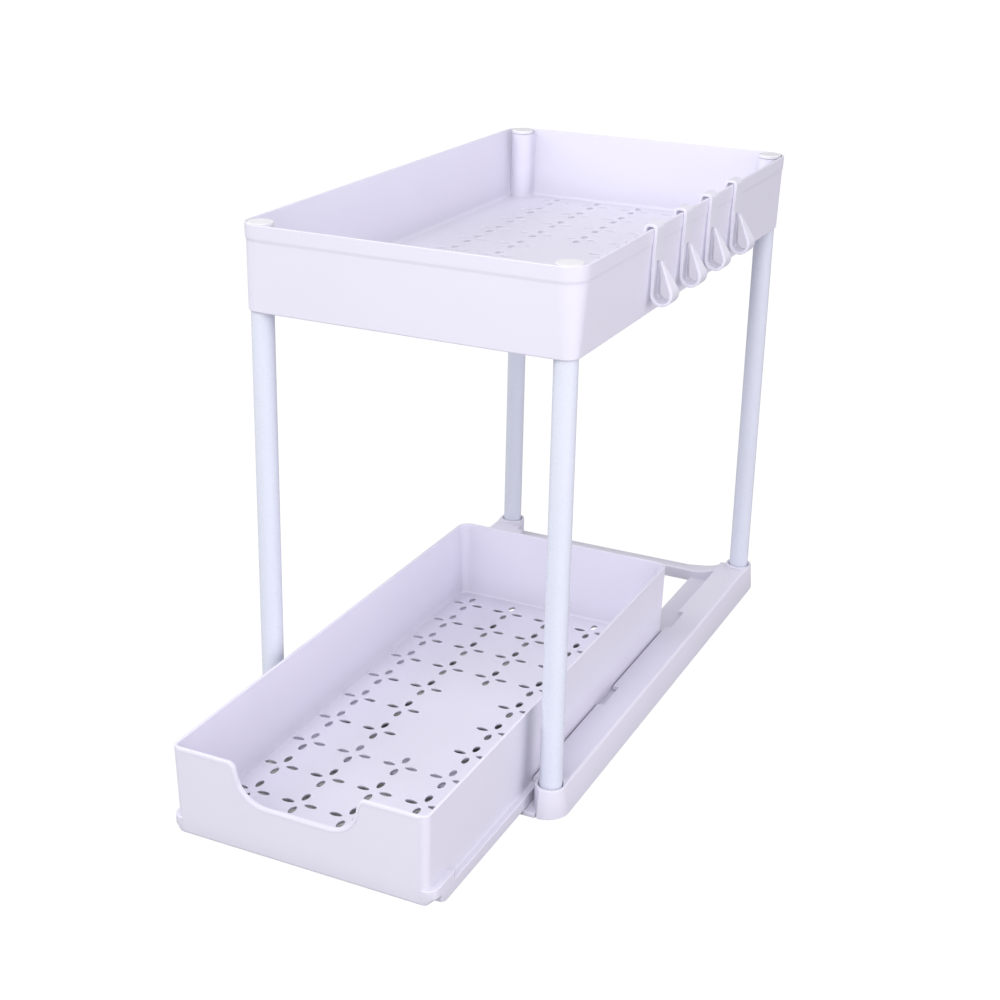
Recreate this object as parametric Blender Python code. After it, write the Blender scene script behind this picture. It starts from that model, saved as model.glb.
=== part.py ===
"""Two-tier pull-out storage rack.

Base frame with C-shaped runner channels, a perforated drawer that slides out
of it, four corner tubes, a perforated upper tray on top of the tubes, four
tube caps and four bent-strip hooks hung on the tray's right-hand rim.

Millimetres in the design frame (origin under the centre of the base frame,
drawer opening towards -Y), turned into metres and moved so that the origin is
the bottom centre of the whole object's box.
"""

import math

import bmesh
import bpy
from mathutils import Vector

for _ob in list(bpy.data.objects):
    bpy.data.objects.remove(_ob, do_unlink=True)

MM = 0.001

# ---------------------------------------------------------------- dimensions
# base frame
BASE_HX = 117.5          # half width at the floor
BASE_HY = 210.0          # half depth at the floor
BASE_R = 16.0            # outer corner radius at the floor
PLATE_T = 3.1            # runner plate and front bar thickness
PLATE_IN = 66.5          # inner edge of the runner plates
LIP_X = 88.4             # inner edge of the hold-down lip
LIP_Z0, LIP_Z1 = 12.5, 15.5
LIP_FRONT = -187.0       # where the lip starts behind the front sockets
CHANNEL_X = 93.2         # side wall of the runner channel
RAIL_TOP = 20.0          # outer top edge of the side rails
BAR_IN = 186.0           # inner face of the end bars
LIP_REAR = 183.0         # where the lip ends in front of the left rear socket
SOCKET_R = 10.4
SOCKET_TOP = 20.2
BORE_R = 7.8             # bore of the sockets and of the tray columns
NOTCHES = ((-77.0, -47.0), (62.0, 93.0))

# corner tubes
TUBE_X, TUBE_Y = 105.0, 196.5
TUBE_R, TUBE_RI = 7.5, 6.5
TUBE_Z0, TUBE_Z1 = 3.4, 358.6

# upper tray
TRAY_Z0 = 308.0
TRAY_Z1 = 364.8
TRAY_HX, TRAY_HY = 117.0, 207.4
TRAY_R = 15.5
TRAY_WALL = 1.8
TRAY_FLOOR = 310.6
RIM_BAND = 355.0         # lower edge of the slightly proud rim band
COLUMN_R = 8.7
COLUMN_TOP = 362.3
LEDGE_Z = 358.9          # the tubes end under this ledge

# caps
CAP_R = 8.6
CAP_CLEAR = 0.3          # the caps sit in shallow recesses of the corner walls
CAP_Z0, CAP_Z1 = 362.6, 365.0
STEM_R, STEM_Z = 6.2, 354.0
STEM_HOLE_R = 6.6

# drawer (shown pulled out)
DR_Z0, DR_Z1 = 7.0, 69.0
DR_HX = 88.5             # half width at the rim
DR_Y0, DR_Y1 = -337.5, 63.0
DR_FLOOR = 9.4
DR_WALL = 2.0
RUN_X = 92.3             # outer face of the side runners
RUN_Z0, RUN_Z1 = 3.5, 12.0
RUN_Y0, RUN_Y1 = -326.0, 57.0
EAR_Z0, EAR_Z1 = 7.4, 18.0
EAR_BACK = -309.5
PANEL_X = 84.0           # half width of the proud front panel
PANEL_T = 0.8
PANEL_EDGE = 1.4         # plain border between the panel and the rim or scoop

# flower perforation
PETAL_OFF = 8.3
PETAL_L, PETAL_W = 9.4, 4.8
FLOWER_X = 35.5
DR_ROW = 35.0
DR_MID = -136.8
TRAY_ROW = 37.5

# hooks
HOOK_W = 14.0
HOOK_T = 2.0
HOOK_Y = (-91.0, -36.0, 15.0, 69.0)
HOOK_IN, HOOK_OUT = 111.15, 118.4     # middle of the strip inside and outside the rim
HOOK_TOP, HOOK_RI = 366.75, 1.65
LEG_X = 117.7            # below the rim band the leg leans in with the wall
LOOP_R, LOOP_Z = 6.45, 322.6
TIP_X, TIP_Z, TIP_W = 120.6, 343.3, 2.6
WINDOW_Y = 4.4
WINDOW_Z0, WINDOW_Z1 = 318.9, 343.7

ROUND = 24               # facets of tubes, sockets, columns and caps


# ------------------------------------------------------------------- helpers
def material(name, colour, rough, metal=0.0):
    mat = bpy.data.materials.new(name)
    mat.use_nodes = True
    node = mat.node_tree.nodes["Principled BSDF"]
    node.inputs["Base Color"].default_value = (*colour, 1.0)
    node.inputs["Roughness"].default_value = rough
    node.inputs["Metallic"].default_value = metal
    return mat


def solid(name, verts, faces):
    mesh = bpy.data.meshes.new(name)
    mesh.from_pydata([(x * MM, y * MM, z * MM) for x, y, z in verts], [], faces)
    bm = bmesh.new()
    bm.from_mesh(mesh)
    bmesh.ops.recalc_face_normals(bm, faces=bm.faces)
    bm.to_mesh(mesh)
    bm.free()
    ob = bpy.data.objects.new(name, mesh)
    bpy.context.scene.collection.objects.link(ob)
    return ob


def loft(name, rings):
    """Closed solid through rings of equal length, capped at both ends."""
    n = len(rings[0])
    verts = [p for ring in rings for p in ring]
    faces = [tuple(range(n))]
    for k in range(len(rings) - 1):
        a, b = k * n, (k + 1) * n
        faces += [(a + i, a + (i + 1) % n, b + (i + 1) % n, b + i) for i in range(n)]
    faces.append(tuple((len(rings) - 1) * n + i for i in range(n)))
    return solid(name, verts, faces)


def rounded(x0, x1, y0, y1, rf, rb, z, seg=5):
    """Rounded rectangle; rf is the radius of the two front corners, rb of the back."""
    out = []
    corners = (
        (x1 - rf, y0 + rf, rf, -90),
        (x1 - rb, y1 - rb, rb, 0),
        (x0 + rb, y1 - rb, rb, 90),
        (x0 + rf, y0 + rf, rf, 180),
    )
    for cx, cy, r, start in corners:
        for i in range(seg + 1):
            a = math.radians(start + 90.0 * i / seg)
            out.append((cx + r * math.cos(a), cy + r * math.sin(a), z))
    return out


def prism(name, outline, axis, lo, hi):
    """Outline of pairs extruded along axis: 'x' takes (y, z), 'y' (x, z), 'z' (x, y)."""
    place = {
        "x": lambda u, v, t: (t, u, v),
        "y": lambda u, v, t: (u, t, v),
        "z": lambda u, v, t: (u, v, t),
    }[axis]
    return loft(name, [[place(u, v, t) for u, v in outline] for t in (lo, hi)])


def box(name, x0, x1, y0, y1, z0, z1):
    return prism(name, [(x0, y0), (x1, y0), (x1, y1), (x0, y1)], "z", z0, z1)


def circle(cx, cy, r, z, n=ROUND):
    return [
        (cx + r * math.cos(2 * math.pi * i / n), cy + r * math.sin(2 * math.pi * i / n), z)
        for i in range(n)
    ]


def cylinder(name, cx, cy, r, z0, z1, n=ROUND):
    return loft(name, [circle(cx, cy, r, z0, n), circle(cx, cy, r, z1, n)])


def hull(name, points):
    bm = bmesh.new()
    for p in points:
        bm.verts.new(Vector(p) * MM)
    res = bmesh.ops.convex_hull(bm, input=bm.verts)
    inner = {g for g in res["geom_interior"] if isinstance(g, bmesh.types.BMVert)}
    bmesh.ops.delete(bm, geom=list(inner), context="VERTS")
    bmesh.ops.dissolve_limit(bm, angle_limit=math.radians(0.5), verts=bm.verts, edges=bm.edges)
    bmesh.ops.recalc_face_normals(bm, faces=bm.faces)
    mesh = bpy.data.meshes.new(name)
    bm.to_mesh(mesh)
    bm.free()
    ob = bpy.data.objects.new(name, mesh)
    bpy.context.scene.collection.objects.link(ob)
    return ob


def combine(ob, others, operation):
    """Exact Boolean of ob with each of others, which are used up."""
    for other in others:
        mod = ob.modifiers.new("cut", "BOOLEAN")
        mod.operation = operation
        mod.solver = "EXACT"
        mod.object = other
        bpy.context.view_layer.update()
        graph = bpy.context.evaluated_depsgraph_get()
        mesh = bpy.data.meshes.new_from_object(ob.evaluated_get(graph))
        ob.modifiers.remove(mod)
        ob.data = mesh
        bpy.data.objects.remove(other, do_unlink=True)
    return ob


def together(name, pieces):
    """Several separate solids as one mesh, used as one cutter."""
    bm = bmesh.new()
    for piece in pieces:
        bm.from_mesh(piece.data)
        bpy.data.objects.remove(piece, do_unlink=True)
    mesh = bpy.data.meshes.new(name)
    bm.to_mesh(mesh)
    bm.free()
    ob = bpy.data.objects.new(name, mesh)
    bpy.context.scene.collection.objects.link(ob)
    return ob


def finish(ob, mat, smooth_angle=30.0):
    bm = bmesh.new()
    bm.from_mesh(ob.data)
    bmesh.ops.remove_doubles(bm, verts=bm.verts, dist=0.000001)
    bmesh.ops.recalc_face_normals(bm, faces=bm.faces)
    bm.to_mesh(ob.data)
    bm.free()
    ob.data.materials.clear()
    ob.data.materials.append(mat)
    ob.data.shade_smooth()
    ob.data.set_sharp_from_angle(angle=math.radians(smooth_angle))
    return ob


def petals(name, centres, z0, z1):
    """All petals of the flower perforation as one cutter."""
    h, w = PETAL_L / 2, PETAL_W / 2
    shape = [(h, 0), (0.5 * h, w), (-0.55 * h, 0.85 * w), (-h, 0), (-0.55 * h, -0.85 * w), (0.5 * h, -w)]
    verts, faces = [], []
    n = len(shape)
    for cx, cy in centres:
        for dx, dy in ((1, 0), (0, 1), (-1, 0), (0, -1)):
            ox, oy = cx + PETAL_OFF * dx, cy + PETAL_OFF * dy
            ring = [(ox + u * dx - v * dy, oy + u * dy + v * dx) for u, v in shape]
            k = len(verts)
            verts += [(x, y, z0) for x, y in ring] + [(x, y, z1) for x, y in ring]
            faces.append(tuple(k + i for i in range(n)))
            faces.append(tuple(k + n + i for i in range(n)))
            faces += [(k + i, k + (i + 1) % n, k + n + (i + 1) % n, k + n + i) for i in range(n)]
    return solid(name, verts, faces)


# ---------------------------------------------------------------- base frame
def base_frame():
    parts = []
    rail = [
        (PLATE_IN, 0.0), (BASE_HX, 0.0), (114.7, 18.4), (113.9, 19.6), (112.6, RAIL_TOP),
        (104.0, 18.1), (96.0, 16.5), (LIP_X, LIP_Z1), (LIP_X, LIP_Z0), (CHANNEL_X, LIP_Z0),
        (CHANNEL_X, PLATE_T), (PLATE_IN + 0.8, PLATE_T), (PLATE_IN, PLATE_T - 0.8),
    ]
    for s in (1, -1):
        parts.append(prism("rail", [(s * x, z) for x, z in rail], "y", -192.0, 192.0))
    for s in (1, -1):
        for t in (1, -1):
            cx, cy = s * TUBE_X, t * TUBE_Y
            # outer corner arc and side, blended into a round boss for the tube
            pts = []
            for inset, z in ((0.0, 0.0), (2.8, 18.4), (3.6, 19.6), (4.9, RAIL_TOP)):
                r = BASE_R - inset
                for i in range(7):
                    a = math.radians(15 * i)
                    pts.append((s * (BASE_HX - BASE_R + r * math.sin(a)), t * (BASE_HY - BASE_R + r * math.cos(a)), z))
                pts.append((s * (BASE_HX - inset), t * 184.0, z))
            pts += circle(cx, cy, SOCKET_R, 0.0)
            pts += circle(cx, cy, SOCKET_R, SOCKET_TOP - 0.4)
            pts += circle(cx, cy, SOCKET_R - 0.4, SOCKET_TOP)
            parts.append(hull("corner", pts))
    front = [(-BASE_HY, 0.0), (-BAR_IN, 0.0), (-BAR_IN, PLATE_T - 0.8), (-BAR_IN - 0.8, PLATE_T), (-BASE_HY + 0.5, PLATE_T)]
    parts.append(prism("front_bar", front, "x", -100.0, 100.0))
    back = [
        (BAR_IN, 0.0), (BASE_HY, 0.0), (208.0, 4.2), (204.0, 6.2), (199.0, 7.9), (192.0, 9.2), (187.0, 9.6), (BAR_IN, 8.8),
    ]
    parts.append(prism("back_bar", back, "x", -100.0, 100.0))
    # at the right-hand rear socket the rail's top runs on into the back bar,
    # which rises to it in a concave sweep
    parts.append(prism("rail_end", [(LIP_X, 2.0), (104.0, 2.0), (104.0, 18.1), (96.0, 16.5), (LIP_X, LIP_Z1)], "y", 186.4, 201.5))
    sweep = []
    for x, z in ((56.0, 7.6), (66.0, 8.9), (74.0, 9.9), (80.0, 11.1), (84.6, 12.6), (88.0, 14.2), (91.5, 15.7)):
        sweep.append([(x, y, h) for y, h in ((BAR_IN, 2.0), (205.0, 2.0), (204.6, 4.4), (202.4, z - 1.4), (200.0, z - 0.1), (187.0, z + 0.3), (BAR_IN, z - 0.5))])
    parts.append(loft("sweep", sweep))
    frame = parts[0]
    combine(frame, parts[1:], "UNION")

    cuts = []
    # way in for the drawer between the front sockets
    cuts.append(box("way_in", -94.3, 94.3, -220.0, LIP_FRONT, 8.0, 30.0))
    cuts.append(box("way_in_low", -CHANNEL_X, CHANNEL_X, -220.0, LIP_FRONT, PLATE_T, 9.0))
    for s in (1, -1):
        # moulding notches in the hold-down lip
        for a, b in NOTCHES:
            plan = [(86.0, a), (93.8, a), (93.8, b - 2.2), (93.1, b - 0.7), (91.4, b), (86.0, b)]
            cuts.append(prism("notch", [(s * x, y) for x, y in plan], "z", 12.2, 24.0))
    # end of the left-hand lip in front of its rear socket
    cuts.append(box("lip_end", -94.4, -80.0, LIP_REAR, 215.0, 9.9, 30.0))
    # hollow underside of the back bar
    cuts.append(prism("bar_pocket", [(189.0, -2.0), (206.0, -2.0), (205.4, 3.0), (198.0, 5.2), (189.0, 6.2)], "x", -88.0, 88.0))
    combine(frame, cuts, "DIFFERENCE")
    # blind sockets with a countersunk mouth
    bores = [
        loft("bore", [circle(s * TUBE_X, t * TUBE_Y, r, z) for r, z in ((BORE_R, PLATE_T), (BORE_R, 18.6), (8.65, 20.3), (8.65, 25.0))])
        for s in (1, -1) for t in (1, -1)
    ]
    combine(frame, [together("bores", bores)], "DIFFERENCE")
    frame.name = frame.data.name = "base_frame"
    return frame


# --------------------------------------------------------------------- tubes
def tube(name, x, y):
    rings = [
        circle(x, y, TUBE_R, TUBE_Z0), circle(x, y, TUBE_R, TUBE_Z1),
        circle(x, y, TUBE_RI, TUBE_Z1), circle(x, y, TUBE_RI, TUBE_Z0),
    ]
    n = ROUND
    verts = [p for ring in rings for p in ring]
    faces = []
    for k in range(4):
        a, b = k * n, ((k + 1) % 4) * n
        faces += [(a + i, a + (i + 1) % n, b + (i + 1) % n, b + i) for i in range(n)]
    return solid(name, verts, faces)


def cap(name, x, y):
    profile = [(STEM_R - 0.8, STEM_Z), (STEM_R, STEM_Z + 0.8), (STEM_R, CAP_Z0), (CAP_R, CAP_Z0),
               (CAP_R, CAP_Z1 - 0.7), (CAP_R - 0.25, CAP_Z1 - 0.25), (CAP_R - 0.8, CAP_Z1)]
    return loft(name, [circle(x, y, r, z) for r, z in profile])


# ---------------------------------------------------------------- upper tray
def upper_tray():
    def ring(inset, z, r):
        hx, hy = TRAY_HX - inset[0], TRAY_HY - inset[1]
        return rounded(-hx, hx, -hy, hy, r, r, z)

    w = TRAY_WALL
    tray = loft("upper_tray", [
        ring((4.1, 3.1), TRAY_Z0, 8.4),
        ring((3.1, 2.1), TRAY_Z0 + 1.1, 9.0),
        ring((0.85, 0.85), RIM_BAND - 0.6, 14.8),
        ring((0.3, 0.3), RIM_BAND, 15.2),
        ring((0.0, 0.0), TRAY_Z1, TRAY_R),
        ring((w, w), TRAY_Z1, TRAY_R - w),
        ring((w + 3.1, w + 2.2), TRAY_FLOOR + 1.6, 8.0),
        ring((w + 4.6, w + 3.7), TRAY_FLOOR, 7.0),
    ])
    adds = []
    for s in (1, -1):
        for t in (1, -1):
            adds.append(cylinder("column", s * TUBE_X, t * TUBE_Y, COLUMN_R, TRAY_Z0 + 1.1, COLUMN_TOP))
            # flat-sided web from the column to the end wall, flush with its face
            side = [(TUBE_Y, TRAY_Z0 + 1.1), (204.3, TRAY_Z0 + 1.1), (206.2, COLUMN_TOP - 0.4), (TUBE_Y, COLUMN_TOP - 0.4)]
            adds.append(prism("web", [(t * y, z) for y, z in side], "x", s * (TUBE_X - COLUMN_R), s * TUBE_X))
    combine(tray, adds, "UNION")
    bores = []
    for s in (1, -1):
        for t in (1, -1):
            bores.append(cylinder("bore", s * TUBE_X, t * TUBE_Y, BORE_R, TRAY_Z0 - 3.0, LEDGE_Z))
    combine(tray, [together("bores", bores)], "DIFFERENCE")
    holes = [
        cylinder("stem_hole", s * TUBE_X, t * TUBE_Y, STEM_HOLE_R, LEDGE_Z - 2.0, COLUMN_TOP + 3.0)
        for s in (1, -1) for t in (1, -1)
    ]
    combine(tray, [together("stem_holes", holes)], "DIFFERENCE")
    recesses = [
        cylinder("recess", s * TUBE_X, t * TUBE_Y, CAP_R + CAP_CLEAR, COLUMN_TOP, TRAY_Z1 + 3.0)
        for s in (1, -1) for t in (1, -1)
    ]
    combine(tray, [together("recesses", recesses)], "DIFFERENCE")
    centres = [
        (i * FLOWER_X, j * TRAY_ROW)
        for i in range(-2, 3) for j in range(-5, 6)
        if not (i == 0 and abs(j) <= 1)
    ]
    combine(tray, [petals("tray_petals", centres, TRAY_Z0 - 2.0, TRAY_FLOOR + 2.0)], "DIFFERENCE")
    tray.name = tray.data.name = "upper_tray"
    return tray


# -------------------------------------------------------------------- drawer
def scoop_outline(grow=0.0):
    """Finger cut-out in the drawer front, from its bottom lip to above the rim."""
    r, zc, xc = 20.0, 62.5, 21.5
    half = [(xc + r * math.sin(math.radians(a)), zc - r * math.cos(math.radians(a))) for a in range(0, 79, 13)]
    slope = math.radians(12.0)
    rt = 6.0
    zs = DR_Z1 - rt + rt * math.sin(slope)
    xs = half[-1][0] + math.tan(slope) * (zs - half[-1][1])
    cxx = xs + rt * math.cos(slope)
    half = [(xc + (r + grow) * math.sin(math.radians(a)), zc - (r + grow) * math.cos(math.radians(a))) for a in range(0, 79, 13)]
    for k in range(6):
        a = math.radians(168.0 - 78.0 * k / 5)
        half.append((cxx + (rt - grow) * math.cos(a), DR_Z1 - rt + (rt - grow) * math.sin(a) + (0.0 if k < 5 else 0.001)))
    half.append((half[-1][0], DR_Z1 + 8.0))
    return half + [(-x, z) for x, z in reversed(half)]


def drawer():
    def ring(inset, z, rf, rb):
        ix, iy = inset
        return rounded(-DR_HX + ix, DR_HX - ix, DR_Y0 + iy, DR_Y1 - iy, rf, rb, z)

    w = DR_WALL
    tray = loft("drawer", [
        ring((2.0, 3.3), DR_Z0, 3.8, 8.0),
        ring((1.0, 2.4), DR_Z0 + 1.1, 4.6, 8.6),
        ring((0.0, 0.0), DR_Z1, 5.0, 9.4),
        ring((w, w), DR_Z1, 3.2, 7.6),
        ring((w + 0.9, w + 2.3), DR_FLOOR + 1.6, 2.8, 7.0),
        ring((w + 2.1, w + 3.6), DR_FLOOR, 2.2, 6.0),
    ])
    adds = []
    top = DR_Z1 - PANEL_EDGE
    panel = [(-333.9, 8.4), (-334.7 - PANEL_T, 8.4), (-335.2 - PANEL_T, 12.0), (DR_Y0 - PANEL_T, top - 0.7),
             (DR_Y0 - PANEL_T + 0.5, top), (DR_Y0 + 1.0, top)]
    front = prism("panel", panel, "x", -PANEL_X, PANEL_X)
    adds.append(combine(front, [prism("panel_scoop", scoop_outline(PANEL_EDGE), "y", -346.0, -329.0)], "DIFFERENCE"))
    for s in (1, -1):
        runner = [(84.2, RUN_Z0 + 4.2), (86.0, RUN_Z0), (RUN_X - 0.6, RUN_Z0), (RUN_X, RUN_Z0 + 0.6),
                  (RUN_X, RUN_Z1 - 0.6), (RUN_X - 0.6, RUN_Z1), (88.05, RUN_Z1), (87.8, RUN_Z1 + 1.0),
                  (87.4, RUN_Z1 + 3.4), (86.0, RUN_Z1 + 3.4)]
        rail = prism("runner", [(s * x, z) for x, z in runner], "y", RUN_Y0, RUN_Y1)
        lead = prism("lead_in", [(RUN_Y0 - 1.0, 2.0), (RUN_Y0 + 8.6, 2.0), (RUN_Y0 + 7.0, RUN_Z0), (RUN_Y0, RUN_Z0 + 2.9), (RUN_Y0 - 1.0, RUN_Z0 + 3.3)],
                     "x", s * 80.0, s * 95.0)
        adds.append(combine(rail, [lead], "DIFFERENCE"))
        ear_low = [(83.6, -335.1), (86.2, -334.6), (87.2, -332.8), (87.5, -330.4), (87.6, -328.0), (87.6, EAR_BACK), (85.4, EAR_BACK), (85.4, -325.0), (82.6, -330.0)]
        ear_mid = [(83.6, -335.9), (87.6, -335.3), (90.4, -333.3), (91.9, -330.6), (RUN_X, -327.6), (RUN_X, EAR_BACK), (86.2, EAR_BACK), (86.2, -325.0), (82.6, -331.0)]
        ear_top = [(83.6, -336.2), (87.6, -335.6), (90.4, -333.5), (91.9, -330.7), (RUN_X, -327.6), (RUN_X, EAR_BACK), (86.2, EAR_BACK), (86.2, -325.0), (82.6, -331.0)]
        adds.append(loft("ear", [[(s * x, y, z) for x, y in plan]
                                 for plan, z in ((ear_low, EAR_Z0), (ear_mid, 11.8), (ear_top, EAR_Z1))]))
    combine(tray, adds, "UNION")
    combine(tray, [prism("scoop", scoop_outline(), "y", -346.0, -329.0)], "DIFFERENCE")
    centres = [
        (i * FLOWER_X, DR_MID + j * DR_ROW)
        for i in range(-2, 3) for j in range(-5, 6)
        if not (i == 0 and abs(j) <= 1)
    ]
    combine(tray, [petals("drawer_petals", centres, DR_Z0 - 2.0, DR_FLOOR + 2.0)], "DIFFERENCE")
    tray.name = tray.data.name = "drawer"
    return tray


# --------------------------------------------------------------------- hooks
def hook_centreline():
    r = HOOK_RI + HOOK_T / 2
    pts = [(HOOK_IN, 352.5)]
    for k in range(5):
        a = math.radians(180.0 - 22.5 * k)
        pts.append((HOOK_IN + r + r * math.cos(a), HOOK_TOP - r + r * math.sin(a)))
    for k in range(5):
        a = math.radians(90.0 - 22.5 * k)
        pts.append((HOOK_OUT - r + r * math.cos(a), HOOK_TOP - r + r * math.sin(a)))
    pts += [(HOOK_OUT - 0.3, 355.2), (LEG_X, 345.0)]
    for k in range(11):
        a = math.radians(180.0 + 207.6 * k / 10)
        pts.append((LEG_X + LOOP_R + LOOP_R * math.cos(a), LOOP_Z + LOOP_R * math.sin(a)))
    # the free end leans back towards the leg
    pts.append((TIP_X, TIP_Z))
    return pts


def hook(name, y0):
    mid = [Vector((x, z)) for x, z in hook_centreline()]
    left, right = [], []
    for i, p in enumerate(mid):
        a = mid[i - 1] if i else p
        b = mid[i + 1] if i + 1 < len(mid) else p
        d1 = (p - a).normalized() if i else (b - p).normalized()
        d2 = (b - p).normalized() if i + 1 < len(mid) else d1
        n = Vector((-(d1 + d2).y, (d1 + d2).x)).normalized()
        h = HOOK_T / 2 / max(0.5, n.dot(Vector((-d1.y, d1.x))))
        if i == len(mid) - 1:
            h *= 0.55
        left.append(p + n * h)
        right.append(p - n * h)
    outline = [(v.x, v.y) for v in left] + [(v.x, v.y) for v in reversed(right)]
    strip = prism(name, outline, "y", y0, y0 + HOOK_W)
    # the tongue narrows to its tip, and the leg has the mould window behind it
    side = (HOOK_W - TIP_W) / 2
    cuts = [
        prism("taper", [(y0 - 1.0, LOOP_Z), (y0, LOOP_Z), (y0 + side, TIP_Z), (y0 + side, 349.0), (y0 - 1.0, 349.0)], "x", 119.4, 140.0),
        prism("taper", [(y0 + HOOK_W + 1.0, LOOP_Z), (y0 + HOOK_W, LOOP_Z), (y0 + HOOK_W - side, TIP_Z),
                        (y0 + HOOK_W - side, 349.0), (y0 + HOOK_W + 1.0, 349.0)], "x", 119.4, 140.0),
        prism("window", [(115.5, WINDOW_Z0), (120.3, WINDOW_Z0), (120.3, 330.0), (119.6, WINDOW_Z1), (115.5, WINDOW_Z1)],
              "y", y0 + WINDOW_Y, y0 + HOOK_W - WINDOW_Y),
    ]
    combine(strip, cuts, "DIFFERENCE")
    strip.name = strip.data.name = name
    return strip


# ------------------------------------------------------------------ assembly
WHITE = (0.80, 0.79, 0.86)
TUBE_WHITE = (0.80, 0.83, 0.90)
NAMES = {(-1, -1): "front_left", (1, -1): "front_right", (-1, 1): "rear_left", (1, 1): "rear_right"}

objects = []
objects.append(finish(base_frame(), material("base_frame_plastic", WHITE, 0.42)))
objects.append(finish(drawer(), material("drawer_plastic", WHITE, 0.42)))
objects.append(finish(upper_tray(), material("upper_tray_plastic", WHITE, 0.42)))
for (sx, sy), where in NAMES.items():
    objects.append(finish(tube(f"tube_{where}", sx * TUBE_X, sy * TUBE_Y), material(f"tube_{where}_coat", TUBE_WHITE, 0.3)))
    objects.append(finish(cap(f"cap_{where}", sx * TUBE_X, sy * TUBE_Y), material(f"cap_{where}_plastic", WHITE, 0.4)))
for number, y0 in enumerate(HOOK_Y, 1):
    objects.append(finish(hook(f"hook_{number}", y0), material(f"hook_{number}_plastic", WHITE, 0.4), 50.0))

lo = Vector((min(v.co.x for o in objects for v in o.data.vertices), min(v.co.y for o in objects for v in o.data.vertices), 0.0))
hi = Vector((max(v.co.x for o in objects for v in o.data.vertices), max(v.co.y for o in objects for v in o.data.vertices), 0.0))
shift = -(lo + hi) / 2

ORIGINS = {"drawer": Vector((0.0, DR_MID, DR_Z0)) * MM}
for number, y0 in enumerate(HOOK_Y, 1):
    ORIGINS[f"hook_{number}"] = Vector((HOOK_OUT, y0 + HOOK_W / 2, HOOK_TOP)) * MM
for ob in objects:
    pivot = ORIGINS.get(ob.name, Vector((0.0, 0.0, 0.0)))
    for vert in ob.data.vertices:
        vert.co -= pivot
    ob.location = pivot + shift
bpy.context.view_layer.update()
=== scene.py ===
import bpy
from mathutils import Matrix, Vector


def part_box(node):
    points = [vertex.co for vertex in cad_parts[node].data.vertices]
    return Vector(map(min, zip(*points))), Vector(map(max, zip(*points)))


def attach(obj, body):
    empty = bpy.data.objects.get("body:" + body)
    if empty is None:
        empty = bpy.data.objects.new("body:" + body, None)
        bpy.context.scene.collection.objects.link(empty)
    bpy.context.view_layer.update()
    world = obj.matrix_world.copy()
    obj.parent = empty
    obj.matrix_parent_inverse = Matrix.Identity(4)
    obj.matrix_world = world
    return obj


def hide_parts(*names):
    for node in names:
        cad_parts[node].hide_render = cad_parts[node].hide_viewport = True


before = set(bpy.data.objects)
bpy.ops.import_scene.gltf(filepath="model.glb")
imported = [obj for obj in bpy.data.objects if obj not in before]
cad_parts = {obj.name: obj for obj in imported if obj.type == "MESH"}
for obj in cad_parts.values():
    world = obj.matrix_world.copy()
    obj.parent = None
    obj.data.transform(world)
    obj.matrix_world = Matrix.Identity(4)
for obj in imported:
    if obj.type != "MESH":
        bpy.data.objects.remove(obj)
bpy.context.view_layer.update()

# Pull-out storage rack: the visible surface.
#
# Every piece is built here as a fine mesh in millimetres, in a design frame whose
# origin is under the centre of the base frame (drawer opening towards -Y), and is
# then turned into metres and moved to where the frame's base frame stands.

import math

import bmesh
import bpy
from mathutils import Matrix, Vector, geometry

MM = 0.001
_lo, _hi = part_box("base_frame")
ORIGIN = Vector(((_lo.x + _hi.x) / 2, (_lo.y + _hi.y) / 2, 0.0))

# ---------------------------------------------------------------- dimensions
BASE_HX, BASE_HY, BASE_R = 117.5, 210.0, 16.0
PLATE_T, PLATE_IN = 3.1, 66.5
LIP_X, LIP_Z0, LIP_Z1, LIP_FRONT = 88.4, 12.5, 15.5, -187.0
CHANNEL_X = 93.2
BAR_IN, LIP_REAR = 186.0, 183.0
SOCKET_R, SOCKET_TOP, BORE_R = 10.4, 20.2, 7.8
NOTCHES = ((-77.0, -47.0), (62.0, 93.0))

TUBE_X, TUBE_Y, TUBE_R, TUBE_RI = 105.0, 196.5, 7.5, 6.5
TUBE_Z0, TUBE_Z1 = 3.4, 358.6

TRAY_Z0, TRAY_Z1 = 308.0, 364.8
TRAY_HX, TRAY_HY, TRAY_R, TRAY_WALL = 117.0, 207.4, 15.5, 1.8
TRAY_FLOOR, RIM_BAND = 310.6, 355.0
COLUMN_R, COLUMN_TOP, LEDGE_Z = 8.7, 362.3, 358.9

CAP_R, CAP_CLEAR, CAP_Z0, CAP_Z1 = 8.6, 0.3, 362.6, 365.0
STEM_R, STEM_Z, STEM_HOLE_R = 6.2, 354.0, 6.6

DR_Z0, DR_Z1, DR_HX, DR_Y0, DR_Y1 = 7.0, 69.0, 88.5, -337.5, 63.0
DR_FLOOR, DR_WALL = 9.4, 2.0
RUN_X, RUN_Z0, RUN_Z1, RUN_Y0, RUN_Y1 = 92.3, 3.5, 12.0, -326.0, 57.0
EAR_Z0, EAR_Z1, EAR_BACK = 7.4, 18.0, -309.5
PANEL_X, PANEL_T, PANEL_EDGE = 84.0, 0.45, 1.2
BEAD_W, BEAD_T = 2.1, 0.78

PETAL_OFF, PETAL_L, PETAL_W = 8.3, 9.4, 4.8
FLOWER_X, DR_ROW, DR_MID, TRAY_ROW = 35.5, 35.0, -136.8, 37.5

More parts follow.
